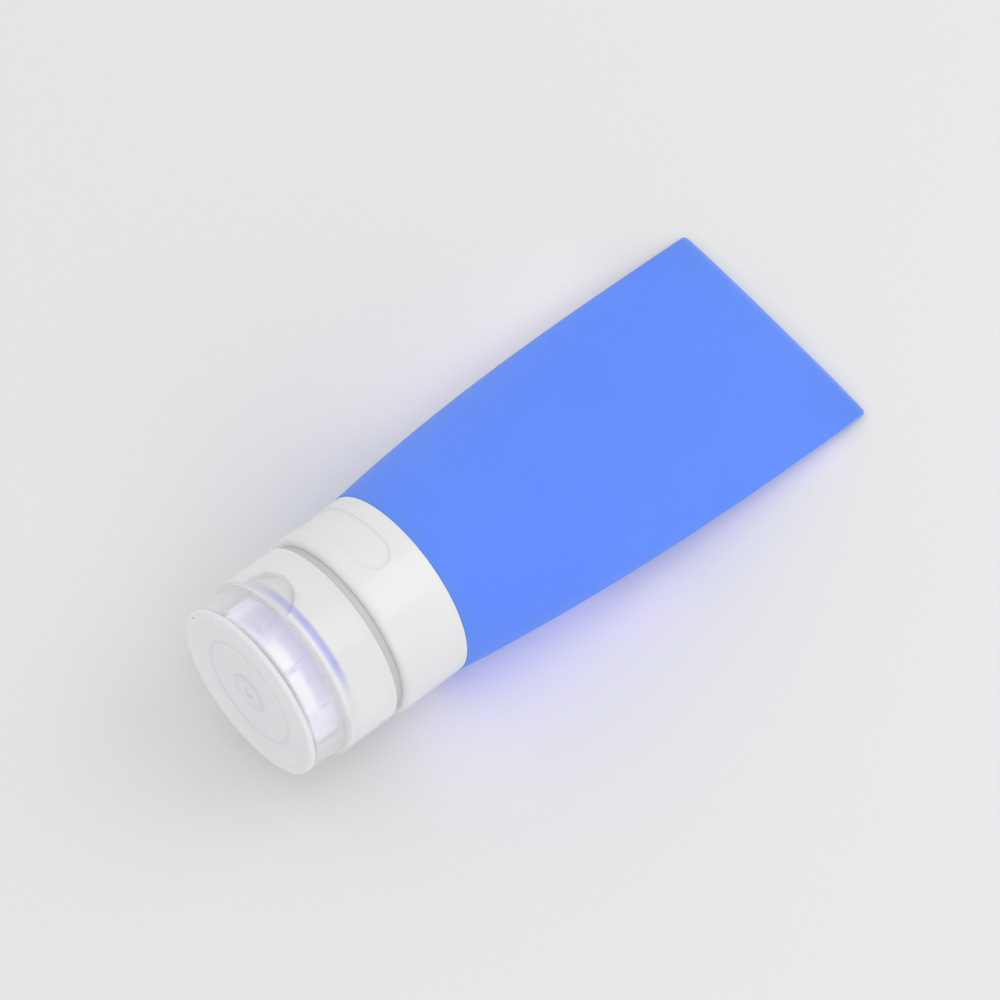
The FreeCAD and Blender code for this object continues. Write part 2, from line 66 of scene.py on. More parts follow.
def around_axis(place, radius, angle):
    """Point = back edge + place * to cap + radius * (cos(angle) * near + sin(angle) * up).

    place and radius are in millimetres and angle in degrees; they may be whole grids.
    """
    place, radius, angle = np.broadcast_arrays(place, radius, np.radians(angle))
    side = np.cos(angle)[..., None] * NEAR_SIDE + np.sin(angle)[..., None] * STRAIGHT_UP
    return BACK_EDGE + 0.001 * (place[..., None] * TO_CAP + radius[..., None] * side)


print("The back edge's lowest point:", around_axis(0.0, 20.0, -90.0))

# %% [markdown]
# ## Camera
#
# The photograph looks down at the bottle from the near side. A long lens keeps the
# round parts from swelling, and the three directions of the camera, right, up and
# back, are written straight into its matrix.

# %% Set the camera
camera_data = bpy.data.cameras.new("photo_camera")
camera_data.lens = 151.2
camera_data.sensor_width = 36.0
camera = bpy.data.objects.new("photo_camera", camera_data)
bpy.context.scene.collection.objects.link(camera)
camera_back = np.array([-0.2706, -0.3247, 0.9062])
camera_up = np.array([0.6019, 0.6776, 0.4226])
camera_back /= np.linalg.norm(camera_back)
camera_right = np.cross(camera_up, camera_back)
camera_right /= np.linalg.norm(camera_right)
camera_up = np.cross(camera_back, camera_right)
pose = np.eye(4)
pose[:3, 0], pose[:3, 1], pose[:3, 2] = camera_right, camera_up, camera_back
pose[:3, 3] = BACK_EDGE + np.array([-0.1925, -0.2619, 0.7322])
camera.matrix_world = Matrix(pose.tolist())
bpy.context.scene.camera = camera
bpy.context.scene.view_settings.view_transform = "Standard"
print("Camera at", np.round(pose[:3, 3], 4))

# %% [markdown]
# ## Helpers for surfaces
#
# A surface here is a grid of points. The grid becomes a mesh in one go, then points
# that fall together, such as a pole on the axis, are merged and the faces are made
# to point outwards.

# %% A grid of points becomes a mesh


def grid_faces(rows, columns, wrap_rows, wrap_columns):
    """Corner numbers of the four-sided faces between neighbouring rows and columns."""
    row = np.arange(rows if wrap_rows else rows - 1)
    column = np.arange(columns if wrap_columns else columns - 1)
    row, column = np.meshgrid(row, column, indexing="ij")
    next_row, next_column = (row + 1) % rows, (column + 1) % columns
    corners = (row * columns + column, row * columns + next_column,
               next_row * columns + next_column, next_row * columns + column)
    return np.stack(corners, axis=-1).reshape(-1, 4)


def mesh_from_grid(name, points, wrap_rows=False, wrap_columns=False, sharp=40.0):
    """A smooth mesh object from a grid of points with shape (rows, columns, 3)."""
    rows, columns = points.shape[:2]
    faces = grid_faces(rows, columns, wrap_rows, wrap_columns)
    mesh = bpy.data.meshes.new(name)
    mesh.from_pydata(points.reshape(-1, 3).tolist(), [], faces.tolist())
    tidy = bmesh.new()
    tidy.from_mesh(mesh)
    bmesh.ops.remove_doubles(tidy, verts=tidy.verts, dist=2e-7)
    bmesh.ops.dissolve_degenerate(tidy, edges=tidy.edges, dist=1e-8)
    bmesh.ops.recalc_face_normals(tidy, faces=tidy.faces)
    tidy.to_mesh(mesh)
    tidy.free()
    mesh.shade_smooth()
    mesh.set_sharp_from_angle(angle=np.radians(sharp))
    piece = bpy.data.objects.new(name, mesh)
    bpy.context.scene.collection.objects.link(piece)
    return piece


print("Faces of a 3 by 4 ring:", len(grid_faces(3, 4, False, True)))

# %% [markdown]
# ## Rounded profiles
#
# Nothing moulded has a truly sharp edge, and it is the rounded edge that catches the
# light. A profile is drawn with sharp corners and a cut length for each. Every corner
# is then replaced by a small quadratic curve between the two cut points, and one more
# point is held back on each straight, so that flat faces keep their flat shading. A
# second helper turns a profile about the axis, and lets a function alter it on the way.

# %% Round the corners of a profile


def rounded_profile(corners, steps=5):
    """Each corner B with cut c becomes (1-s)^2 A + 2s(1-s) B + s^2 C.

    corners holds (place, radius, cut) rows of a closed outline, A and C lie at the
    cut's distance from B on its two straights, and s runs from 0 to 1.
    """
    corners = np.array(corners, dtype=float)
    here, cut = corners[:, :2], corners[:, 2:3]
    to_last = np.roll(here, 1, axis=0) - here
    to_next = np.roll(here, -1, axis=0) - here
    last_length = np.linalg.norm(to_last, axis=1, keepdims=True)
    next_length = np.linalg.norm(to_next, axis=1, keepdims=True)
    to_last, to_next = to_last / last_length, to_next / next_length
    start, end = here + to_last * cut, here + to_next * cut
    share = np.linspace(0.0, 1.0, steps)[None, :, None]
    curve = (1 - share) ** 2 * start[:, None] + 2 * share * (1 - share) * here[:, None] \
        + share ** 2 * end[:, None]
    hold_last = np.minimum(0.35 * cut + 0.05, 0.3 * (last_length - cut).clip(0.0))
    hold_next = np.minimum(0.35 * cut + 0.05, 0.3 * (next_length - cut).clip(0.0))
    before = start + to_last * hold_last
    after = end + to_next * hold_next
    outline = np.concatenate([before[:, None], curve, after[:, None]], axis=1)
    return outline.reshape(-1, 2)


def turned_piece(name, profile, angles=None, change=None, closed=True, sharp=40.0):
    """The surface (place(i), radius(i), angle(j)) of a profile turned about the axis.

    change, where given, alters the place and radius grids as they go round.
    """
    if angles is None:
        angles = np.linspace(0.0, 360.0, 256, endpoint=False)
    place = np.repeat(profile[:, :1], len(angles), axis=1)
    radius = np.repeat(profile[:, 1:2], len(angles), axis=1)
    turn = np.repeat(angles[None, :], len(profile), axis=0)
    if change is not None:
        place, radius = change(place, radius, turn)
    return mesh_from_grid(name, around_axis(place, radius, turn), wrap_rows=closed,
                          wrap_columns=True, sharp=sharp)


def resampled(profile, spacing):
    """The closed profile with extra points, so that no two are further apart than spacing."""
    following = np.roll(profile, -1, axis=0)
    counts = np.ceil(np.linalg.norm(following - profile, axis=1) / spacing).clip(1).astype(int)
    share = np.concatenate([np.arange(count) / count for count in counts])
    start = np.repeat(profile, counts, axis=0)
    return start + (np.repeat(following, counts, axis=0) - start) * share[:, None]


def angle_from(angle, middle):
    """The signed difference of angles in degrees, between -180 and 180."""
    return (angle - middle + 180.0) % 360.0 - 180.0


square = rounded_profile([(0, 10, 1), (0, 20, 1), (10, 20, 1), (10, 10, 1)])
print("A square with rounded corners has", len(square), "points")

# %% [markdown]
# ## Shared effects for the materials
#
# Effects used by several finishes are node groups. Two are for every surface: slow
# patches of shade, as every moulded surface has, and a fine grain that goes into the
# bump. Two more find a spot on a round piece: one turns object coordinates into the
# place along the bottle's axis, the angle and the radius, and one makes a soft band of
# any such number. All read object coordinates, so they stay on the piece from any side.

# %% Node groups


def new_group(name, inputs, outputs):
    """A shader node group with named sockets; returns its tree and its two ends."""
    tree = bpy.data.node_groups.new(name, "ShaderNodeTree")
    for label, kind, value in inputs:
        socket = tree.interface.new_socket(name=label, in_out="INPUT", socket_type=kind)
        socket.default_value = value
    for label, kind in outputs:
        tree.interface.new_socket(name=label, in_out="OUTPUT", socket_type=kind)
    return tree, tree.nodes.new("NodeGroupInput"), tree.nodes.new("NodeGroupOutput")


def cloudy_shade():
    """Colour = mix(low colour, high colour, slow noise at the given scale)."""
    tree, start, end = new_group(
        "cloudy_shade",
        [("Low", "NodeSocketColor", (0.5, 0.5, 0.5, 1)),
         ("High", "NodeSocketColor", (0.6, 0.6, 0.6, 1)),
         ("Scale", "NodeSocketFloat", 30.0)],
        [("Color", "NodeSocketColor"), ("Mask", "NodeSocketFloat")])
    place = tree.nodes.new("ShaderNodeTexCoord")
    noise = tree.nodes.new("ShaderNodeTexNoise")
    spread = tree.nodes.new("ShaderNodeMapRange")
    mix = tree.nodes.new("ShaderNodeMix")
    noise.inputs["Detail"].default_value = 3.0
    spread.inputs["From Min"].default_value = 0.3
    spread.inputs["From Max"].default_value = 0.7
    mix.data_type = "RGBA"
    link = tree.links.new
    link(place.outputs["Object"], noise.inputs["Vector"])
    link(start.outputs["Scale"], noise.inputs["Scale"])
    link(noise.outputs["Fac"], spread.inputs["Value"])
    link(spread.outputs["Result"], mix.inputs["Factor"])
    link(start.outputs["Low"], mix.inputs["A"])
    link(start.outputs["High"], mix.inputs["B"])
    link(mix.outputs["Result"], end.inputs["Color"])
    link(spread.outputs["Result"], end.inputs["Mask"])
    return tree


def fine_grain():
    """Height = amount * (fine noise + a quarter of one about eight times coarser)."""
    tree, start, end = new_group(
        "fine_grain",
        [("Scale", "NodeSocketFloat", 2000.0), ("Amount", "NodeSocketFloat", 1.0)],
        [("Height", "NodeSocketFloat")])
    place = tree.nodes.new("ShaderNodeTexCoord")
    fine = tree.nodes.new("ShaderNodeTexNoise")
    coarse = tree.nodes.new("ShaderNodeTexNoise")
    slower = tree.nodes.new("ShaderNodeMath")
    both = tree.nodes.new("ShaderNodeMath")
    amount = tree.nodes.new("ShaderNodeMath")
    slower.operation, slower.inputs[1].default_value = "MULTIPLY", 0.12
    both.operation, both.inputs[2].default_value = "MULTIPLY_ADD", 0.0
    both.inputs[1].default_value = 0.25
    amount.operation = "MULTIPLY"
    fine.inputs["Detail"].default_value = 2.0
    coarse.inputs["Detail"].default_value = 2.0
    link = tree.links.new
    link(place.outputs["Object"], fine.inputs["Vector"])
    link(place.outputs["Object"], coarse.inputs["Vector"])
    link(start.outputs["Scale"], fine.inputs["Scale"])
    link(start.outputs["Scale"], slower.inputs[0])
    link(slower.outputs[0], coarse.inputs["Scale"])
    link(coarse.outputs["Fac"], both.inputs[0])
    link(fine.outputs["Fac"], both.inputs[2])
    link(both.outputs[0], amount.inputs[0])
    link(start.outputs["Amount"], amount.inputs[1])
    link(amount.outputs[0], end.inputs["Height"])
    return tree


def axis_place():
    """Place = dot(P - back edge, to cap) in mm; Angle = atan2(up, near) in degrees.

    up and near are the other two parts of P - back edge, and Radius = sqrt(up^2 + near^2).
    """
    tree, _, end = new_group("axis_place", [], [
        (label, "NodeSocketFloat") for label in ("Place", "Angle", "Radius")])
    link = tree.links.new
    point = tree.nodes.new("ShaderNodeTexCoord")
    shift = tree.nodes.new("ShaderNodeVectorMath")
    shift.operation, shift.inputs[1].default_value = "SUBTRACT", BACK_EDGE.tolist()
    link(point.outputs["Object"], shift.inputs[0])
    parts = []
    for direction in (TO_CAP, STRAIGHT_UP, NEAR_SIDE):
        part = tree.nodes.new("ShaderNodeVectorMath")
        part.operation, part.inputs[1].default_value = "DOT_PRODUCT", (direction * 1000).tolist()
        link(shift.outputs[0], part.inputs[0])
        parts.append(part.outputs["Value"])
    turn, degrees = tree.nodes.new("ShaderNodeMath"), tree.nodes.new("ShaderNodeMath")
    turn.operation, degrees.operation = "ARCTAN2", "DEGREES"
    link(parts[1], turn.inputs[0])
    link(parts[2], turn.inputs[1])
    link(turn.outputs[0], degrees.inputs[0])
    squares = []
    for part in parts[1:]:
        square = tree.nodes.new("ShaderNodeMath")
        square.operation = "MULTIPLY_ADD"
        link(part, square.inputs[0])
        link(part, square.inputs[1])
        squares.append(square)
    squares[0].inputs[2].default_value = 0.0
    link(squares[0].outputs[0], squares[1].inputs[2])
    root = tree.nodes.new("ShaderNodeMath")
    root.operation = "SQRT"
    link(squares[1].outputs[0], root.inputs[0])
    link(root.outputs[0], end.inputs["Radius"])
    link(parts[0], end.inputs["Place"])
    link(degrees.outputs[0], end.inputs["Angle"])
    return tree


def soft_band():
    """Mask = clamp((v - low) / soft + 1/2) * clamp((high - v) / soft + 1/2)."""
    tree, start, end = new_group(
        "soft_band",
        [("Value", "NodeSocketFloat", 0.0), ("Low", "NodeSocketFloat", 0.0),
         ("High", "NodeSocketFloat", 1.0), ("Soft", "NodeSocketFloat", 0.1)],
        [("Mask", "NodeSocketFloat")])
    link = tree.links.new
    sides = []
    for larger, smaller in (("Value", "Low"), ("High", "Value")):
        beyond, share, middle = [tree.nodes.new("ShaderNodeMath") for _ in range(3)]
        beyond.operation, share.operation, middle.operation = "SUBTRACT", "DIVIDE", "ADD"
        middle.inputs[1].default_value, middle.use_clamp = 0.5, True
        link(start.outputs[larger], beyond.inputs[0])
        link(start.outputs[smaller], beyond.inputs[1])
        link(beyond.outputs[0], share.inputs[0])
        link(start.outputs["Soft"], share.inputs[1])
        link(share.outputs[0], middle.inputs[0])
        sides.append(middle.outputs[0])
    both = tree.nodes.new("ShaderNodeMath")
    both.operation = "MULTIPLY"
    link(sides[0], both.inputs[0])
    link(sides[1], both.inputs[1])
    link(both.outputs[0], end.inputs["Mask"])
    return tree


CLOUDY = cloudy_shade()
GRAIN = fine_grain()
AXIS_PLACE = axis_place()
SOFT_BAND = soft_band()
print("Node groups:", [group.name for group in bpy.data.node_groups])

# %% [markdown]
# ## A finish from plain values
#
# Each material keeps its own Principled shader. A helper places the two groups, feeds
# the base colour and the bump, and sets the plain sockets; what is special about one
# finish is added after it.

# %% The common start of every finish


def finish(name, low, high, patch_scale, rough, grain_scale, grain_depth, **sockets):
    """A Principled material with cloudy base colour and grain bump; returns its parts."""
    material = bpy.data.materials.new(name)
    material.use_nodes = True
    nodes, link = material.node_tree.nodes, material.node_tree.links.new
    shader = nodes["Principled BSDF"]
    shade = nodes.new("ShaderNodeGroup")
    shade.node_tree = CLOUDY
    shade.inputs["Low"].default_value = (*low, 1.0)
    shade.inputs["High"].default_value = (*high, 1.0)
    shade.inputs["Scale"].default_value = patch_scale
    grain = nodes.new("ShaderNodeGroup")
    grain.node_tree = GRAIN
    grain.inputs["Scale"].default_value = grain_scale
    bump = nodes.new("ShaderNodeBump")
    bump.inputs["Distance"].default_value = grain_depth
    uneven = nodes.new("ShaderNodeMapRange")
    uneven.inputs["To Min"].default_value = rough * 0.9
    uneven.inputs["To Max"].default_value = rough * 1.1
    link(shade.outputs["Color"], shader.inputs["Base Color"])
    link(shade.outputs["Mask"], uneven.inputs["Value"])
    link(uneven.outputs["Result"], shader.inputs["Roughness"])
    link(grain.outputs["Height"], bump.inputs["Height"])
    link(bump.outputs["Normal"], shader.inputs["Normal"])
    for socket, value in sockets.items():
        shader.inputs[socket.replace("_", " ")].default_value = value
    return material, shader, shade


white_plastic, _, _ = finish("white_plastic", (0.77, 0.77, 0.78), (0.80, 0.80, 0.81), 60.0,
                             0.16, 1500.0, 0.000004)
# The neck's grey is painted shade for the narrow gap in front of the collar, where it shows.
neck_plastic, _, _ = finish("neck_plastic", (0.56, 0.56, 0.57), (0.60, 0.60, 0.61), 80.0,
                            0.35, 1500.0, 0.000006)
ring_plastic, _, _ = finish("ring_plastic", (0.76, 0.76, 0.77), (0.80, 0.80, 0.81), 80.0,
                            0.4, 1500.0, 0.000006)
washer_rubber, _, _ = finish("washer_rubber", (0.30, 0.32, 0.85), (0.34, 0.36, 0.90), 90.0,
                             0.6, 2500.0, 0.00001)
valve_silicone, _, _ = finish("valve_silicone", (0.42, 0.40, 0.92), (0.46, 0.44, 0.95), 90.0,
                              0.5, 2500.0, 0.00001)
print("Finishes so far:", len(bpy.data.materials))

# %% [markdown]
# ## Milky clear plastic
#
# The cap, the lid and the disc are see-through, yet nothing in them looks dark or bent:
# the plastic is a little milky, and its edges look lighter than its faces. A clear
# glass shader would darken the edges. So the surface keeps a pale colour and a gloss,
# and lets a share of the light straight through. That share falls towards the edges,
# where the eye looks through more of the plastic. The tower's finish also has a weak
# emission. This is a painted glow, and it brightens the tower as if light reached it from all
# round.

# %% Clear finishes


def milky_plastic(name, low, high, rough, face, edge, **sockets):
    """Alpha = face + (edge - face) * facing, where facing rises from 0 to 1 at the outline."""
    material, shader, _ = finish(name, low, high, 60.0, rough, 900.0, 0.000003, **sockets)
    nodes, link = material.node_tree.nodes, material.node_tree.links.new
    outline = nodes.new("ShaderNodeLayerWeight")
    outline.inputs["Blend"].default_value = 0.35
    cover = nodes.new("ShaderNodeMapRange")
    cover.inputs["To Min"].default_value = face
    cover.inputs["To Max"].default_value = edge
    link(outline.outputs["Facing"], cover.inputs["Value"])
    link(cover.outputs["Result"], shader.inputs["Alpha"])
    return material


clear_plastic = milky_plastic("clear_plastic", (0.90, 0.90, 0.90), (0.92, 0.92, 0.92),
                              0.15, 0.75, 0.95)
# The tower's lavender is painted light from the violet valve behind it, and its emission is a
# painted glow.
tower_plastic = milky_plastic("tower_plastic", (0.76, 0.74, 0.92), (0.86, 0.84, 0.96),
                              0.15, 0.9, 1.0, Emission_Strength=0.2,
                              Emission_Color=(0.95, 0.93, 1.0, 1.0))
lid_plastic = milky_plastic("lid_plastic", (0.95, 0.95, 0.95), (0.97, 0.97, 0.97),
                            0.10, 0.10, 0.60)
disc_silicone = milky_plastic("disc_silicone", (0.90, 0.895, 0.91), (0.92, 0.915, 0.93),
                              0.35, 0.70, 0.92)
print("Clear finishes:", clear_plastic.name, lid_plastic.name, disc_silicone.name)

# %% [markdown]
# ## Silicone
#
# The tube is dyed silicone with a matte skin: nearly one even blue, a very fine grain
# and hardly any shine. Where the two walls are pinched together at the end there is
# less material, so more light comes through and the edge looks paler. The paler edge
# is mixed in by the place along X, which is where the seal is.

# %% Blue silicone with a paler seal


def add_pale_seal(material, shader, shade, start, end, pale):
    """Base = mix(blue, pale, t), where t rises from 0 to 1 between the two X places."""
    nodes, link = material.node_tree.nodes, material.node_tree.links.new
    place = nodes.new("ShaderNodeTexCoord")
    parts = nodes.new("ShaderNodeSeparateXYZ")
    rise = nodes.new("ShaderNodeMapRange")
    rise.interpolation_type = "SMOOTHSTEP"
    rise.inputs["From Min"].default_value = start
    rise.inputs["From Max"].default_value = end
    mix = nodes.new("ShaderNodeMix")
    mix.data_type = "RGBA"
    mix.inputs["B"].default_value = (*pale, 1.0)
    link(place.outputs["Object"], parts.inputs[0])
    link(parts.outputs["X"], rise.inputs["Value"])
    link(rise.outputs["Result"], mix.inputs["Factor"])
    link(shade.outputs["Color"], mix.inputs["A"])
    link(mix.outputs["Result"], shader.inputs["Base Color"])


blue_silicone, blue_shader, blue_shade = finish(
    "blue_silicone", (0.118, 0.262, 0.98), (0.130, 0.280, 0.99), 25.0, 0.62, 2600.0, 0.00001,
    Specular_IOR_Level=0.25, Subsurface_Weight=0.6, Subsurface_Scale=0.004,
    Subsurface_Radius=(0.3, 0.35, 1.0))
add_pale_seal(blue_silicone, blue_shader, blue_shade, 0.0676, 0.0701, (0.24, 0.37, 0.97))
print("Blue silicone is ready")

# %% [markdown]
# ## The soft tube
#
# The tube starts round at the collar and is pinched flat at its end. Its sections are
# ellipses: the half height falls evenly, and the half width swells early and then
# stays, because a pinched tube keeps its circumference. The lowest line of every
# section lies on the ground line, so the bottle rests on it.

# %% The tube's skin
TUBE_LENGTH = 100.5
MOUTH_RADIUS = 20.1
END_HALF_HEIGHT = 1.0
END_HALF_WIDTH = 26.75
WIDTH_SWELL = 2.75
CORNER_ROUND = 0.8
SEAM_HEIGHT, SEAM_WIDTH, SEAM_FADE = 0.07, 0.16, 0.22
SEAM_RISE = np.radians(7.0)


def tube_section(share, angle):
    """The ellipse at a share s of the length, as its place, across and height.

    Half width = a0 + (a1 - a0) * (1 - (1 - s)^swell), half height = b0 + (b1 - b0) * s,
    and centre = ground line + half height. Across is near at angle 0, and the place
    runs backwards from the collar.
    """
    swollen = 1.0 - (1.0 - share) ** WIDTH_SWELL
    half_width = MOUTH_RADIUS + (END_HALF_WIDTH - MOUTH_RADIUS) * swollen
    half_height = MOUTH_RADIUS + (END_HALF_HEIGHT - MOUTH_RADIUS) * share
    ground = share * TUBE_LENGTH * np.tan(LYING_TILT) - MOUTH_RADIUS
    across = half_width * np.cos(angle)
    height = ground + half_height + half_height * np.sin(angle)
    return -share * TUBE_LENGTH, across, height


def tube_points(share, angle):
    """The skin's points: corners of the end rounded, and a fine seam along both sides.

    The seam adds height * exp(-(d / width)^2) across, where d is the distance along the
    section from the mould's parting line, and it fades with exp(-(s / fade)^2). The
    line rises by tanh(5 s) * cos(angle) from the side near the collar.
    """
    lifted = angle + SEAM_RISE * np.tanh(5.0 * share) * np.cos(angle)
    place, across, height = tube_section(share, lifted)
    from_end = (1.0 - share) * TUBE_LENGTH
    depth = CORNER_ROUND - from_end.clip(0.0, CORNER_ROUND)
    pull = CORNER_ROUND - np.sqrt((CORNER_ROUND ** 2 - depth ** 2).clip(0.0))
    across = np.clip(across, pull - END_HALF_WIDTH, END_HALF_WIDTH - pull)
    from_seam = MOUTH_RADIUS * np.arcsin(np.abs(np.sin(angle)))
    seam = SEAM_HEIGHT * np.exp(-(from_seam / SEAM_WIDTH) ** 2 - (share / SEAM_FADE) ** 2)
    across = across + seam * np.sign(np.cos(angle))
    return BACK_EDGE + 0.001 * (place[..., None] * TO_CAP + across[..., None] * NEAR_SIDE
                                + height[..., None] * STRAIGHT_UP)


share_steps = np.concatenate([
    np.linspace(0.0, 0.02, 4, endpoint=False), np.linspace(0.02, 0.97, 110, endpoint=False),
    1.0 - 0.03 * np.cos(np.linspace(0.0, np.pi / 2, 18))])
seam_columns = np.radians(np.linspace(-1.5, 1.5, 13))
angle_steps = np.unique(np.round(np.concatenate([
    np.linspace(0.0, 2 * np.pi, 240, endpoint=False), seam_columns % (2 * np.pi),
    np.pi + seam_columns]), 5))
share_grid, angle_grid = np.meshgrid(share_steps, angle_steps, indexing="ij")
skin = tube_points(share_grid, angle_grid)
mouth_middle = skin[:1].mean(axis=1, keepdims=True)
end_middle = skin[-1:].mean(axis=1, keepdims=True)
mouth = np.concatenate([mouth_middle + (skin[:1] - mouth_middle) * s for s in (0.0, 0.8)])
end_cap = np.concatenate([end_middle + (skin[-1:] - end_middle) * s for s in (0.96, 0.0)])
tube = mesh_from_grid("soft_tube", np.concatenate([mouth, skin, end_cap]), wrap_columns=True)
tube.data.materials.append(blue_silicone)
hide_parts("tube_body")
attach(tube, "bottle")
print("The tube has", len(tube.data.polygons), "faces")

# %% [markdown]
# ## The collar and its blank label field
#
# The collar is a short glossy sleeve. Its front edge is well rounded and its back edge
# nearly sharp. On the far side of the top there is a shallow field with round ends,
# where a maker would put a label, and here it stays blank. The field is pressed in by
# the distance to its outline: inside the outline the radius is a little smaller, with
# a short soft step.

# %% The collar
COLLAR_RADIUS, COLLAR_BORE, COLLAR_LENGTH = 20.0, 18.05, 15.3
FIELD_ANGLE = 124.5
FIELD_MIDDLE = 7.65
FIELD_HALF_WIDTH = 3.6
FIELD_HALF_STRAIGHT = 9.9
FIELD_DEPTH, FIELD_STEP = 0.33, 0.35


def press_field(place, radius, angle):
    """Radius falls by depth * smooth(step) inside a stadium outline on the collar's outside.

    The distance to the stadium is hypot(max(|t| - straight, 0), place - middle) - half
    width, with t = R * sin(angle from the field's middle).
    """
    turn = np.radians(angle_from(angle, FIELD_ANGLE))
    along = np.abs(COLLAR_RADIUS * np.sin(turn))
    outside = np.hypot((along - FIELD_HALF_STRAIGHT).clip(0.0), place - FIELD_MIDDLE)
    step = ((FIELD_HALF_WIDTH - outside) / FIELD_STEP + 0.5).clip(0.0, 1.0)
    step = step * step * (3 - 2 * step)
    on_field = (radius > COLLAR_RADIUS - 0.5) & (np.cos(turn) > 0.0)
    return place, radius - np.where(on_field, FIELD_DEPTH * step, 0.0)


collar_profile = rounded_profile([
    (0.0, COLLAR_BORE, 0.1), (0.0, COLLAR_RADIUS, 0.3),
    (COLLAR_LENGTH, COLLAR_RADIUS, 1.5), (COLLAR_LENGTH, COLLAR_BORE, 0.1)])
collar_angles = np.sort(np.concatenate([
    np.linspace(0.0, 360.0, 256, endpoint=False),
    FIELD_ANGLE + np.linspace(-44.6, -28.0, 60), FIELD_ANGLE + np.linspace(28.0, 44.6, 60)]))
collar = turned_piece("collar_band", resampled(collar_profile, 0.16), collar_angles, press_field)
collar.data.materials.append(white_plastic)
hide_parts("collar")
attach(collar, "bottle")
print("The collar has", len(collar.data.polygons), "faces")

# %% [markdown]
# ## The hard neck and its thread
#
# A neck of hard plastic sits inside the tube's mouth and carries the cap. Its flange
# fills the narrow gap in front of the collar. The thread is one ridge that climbs as
# it turns. It could be swept along a helix, but as a bump on the neck's own grid it
# needs no joint: the height at a point depends on how far that point lies from the
# nearest turn of the helix.

# %% The neck
NECK_BACK, NECK_FRONT = 0.8, 24.4
NECK_BORE, NECK_FRONT_BORE = 14.0, 15.2
SPIGOT_RADIUS, SPIGOT_FRONT = 15.95, 13.55
FLANGE_RADIUS, FLANGE_FRONT = 18.6, 17.0
CORE_RADIUS = 17.2
THREAD_PITCH, THREAD_HEIGHT, THREAD_HALF_WIDTH = 3.0, 0.33, 0.75
THREAD_START, THREAD_END, THREAD_FADE = 18.2, 23.9, 0.6


def raise_thread(place, radius, angle):
    """Radius grows by height * bump(d), where d is the distance to place = pitch * turn.

    bump falls from 1 to 0 over the outer half of the ridge, and fades at both its ends.
    """
    turn = place - THREAD_PITCH * angle / 360.0
    distance = np.abs((turn + THREAD_PITCH / 2) % THREAD_PITCH - THREAD_PITCH / 2)
    bump = (1.0 - distance / THREAD_HALF_WIDTH).clip(0.0, 1.0)
    ends = np.minimum(place - THREAD_START, THREAD_END - place)
    ends = ends.clip(0.0, THREAD_FADE) / THREAD_FADE
    outside = np.abs(radius - CORE_RADIUS) < 0.01
    ridge = THREAD_HEIGHT * np.minimum(bump * 2, 1) * ends
    return place, radius + np.where(outside, ridge, 0.0)


neck_profile = rounded_profile([
    (NECK_BACK, NECK_BORE, 0.1), (NECK_BACK, SPIGOT_RADIUS, 0.2),
    (SPIGOT_FRONT, SPIGOT_RADIUS, 0.05), (SPIGOT_FRONT, COLLAR_BORE - 0.05, 0.05),
    (COLLAR_LENGTH, COLLAR_BORE - 0.05, 0.05), (COLLAR_LENGTH, FLANGE_RADIUS, 0.1),
    (FLANGE_FRONT, FLANGE_RADIUS, 0.2), (FLANGE_FRONT, CORE_RADIUS, 0.1),
    (NECK_FRONT, CORE_RADIUS, 0.25), (NECK_FRONT, NECK_FRONT_BORE, 0.2),
    (COLLAR_LENGTH, NECK_FRONT_BORE, 0.1), (COLLAR_LENGTH, NECK_BORE, 0.1)])
neck = turned_piece("hard_neck", resampled(neck_profile, 0.25), None, raise_thread)
neck.data.materials.append(neck_plastic)
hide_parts("neck_spout")
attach(neck, "bottle")
print("The neck has", len(neck.data.polygons), "faces")

# %% [markdown]
# ## The clear cap base
#
# The base screws over the neck and stands up as a ribbed tower under the lid. It is
# one moulding, so it is one turned profile again, with three changes on the way round:
# the ribs lift the tower's wall at every forty degrees, the hinge's pocket cuts the rim
# straight across, and opposite it a half-moon is sunk into the rim, so that a finger
# gets under the lid. Columns of the grid are set on the ribs' and the pocket's own
# edges, so their sides stay crisp. The ring and the tower have finishes of their own, so
# they are two surfaces, which overlap by a hair inside the deck.

# %% The cap base
HINGE_ANGLE = 293.0
CAP_RADIUS, CAP_BORE = 19.5, 17.6
CAP_BACK, CAP_FRONT = 17.1, 28.6
DECK_BACK, MOAT_FLOOR, MOAT_RADIUS = 25.3, 27.0, 16.4
TOWER_RADIUS, TOWER_BORE, OUTLET_RADIUS = 14.2, 12.7, 4.7
TOWER_CEILING, TOWER_TOP = 31.5, 34.3
RIB_ANGLE, RIB_STEP, RIB_HEIGHT = 64.0, 40.0, 0.9
RIB_HALF_ANGLE = np.degrees(0.4 / 14.65)
RIB_TOP = MOAT_FLOOR + 5.2
POCKET_FLOOR, POCKET_BACK = 26.4, 16.7
POCKET_HALF_ANGLE = np.degrees(np.arctan(6.7 / 17.8))
NOTCH_ANGLE, NOTCH_PLACE, NOTCH_RADIUS = 113.0, CAP_FRONT + 1.5, 7.2
NOTCH_FLOOR, NOTCH_STEP = 18.6, 0.35
MOULD_PART = TOWER_RADIUS - 0.02


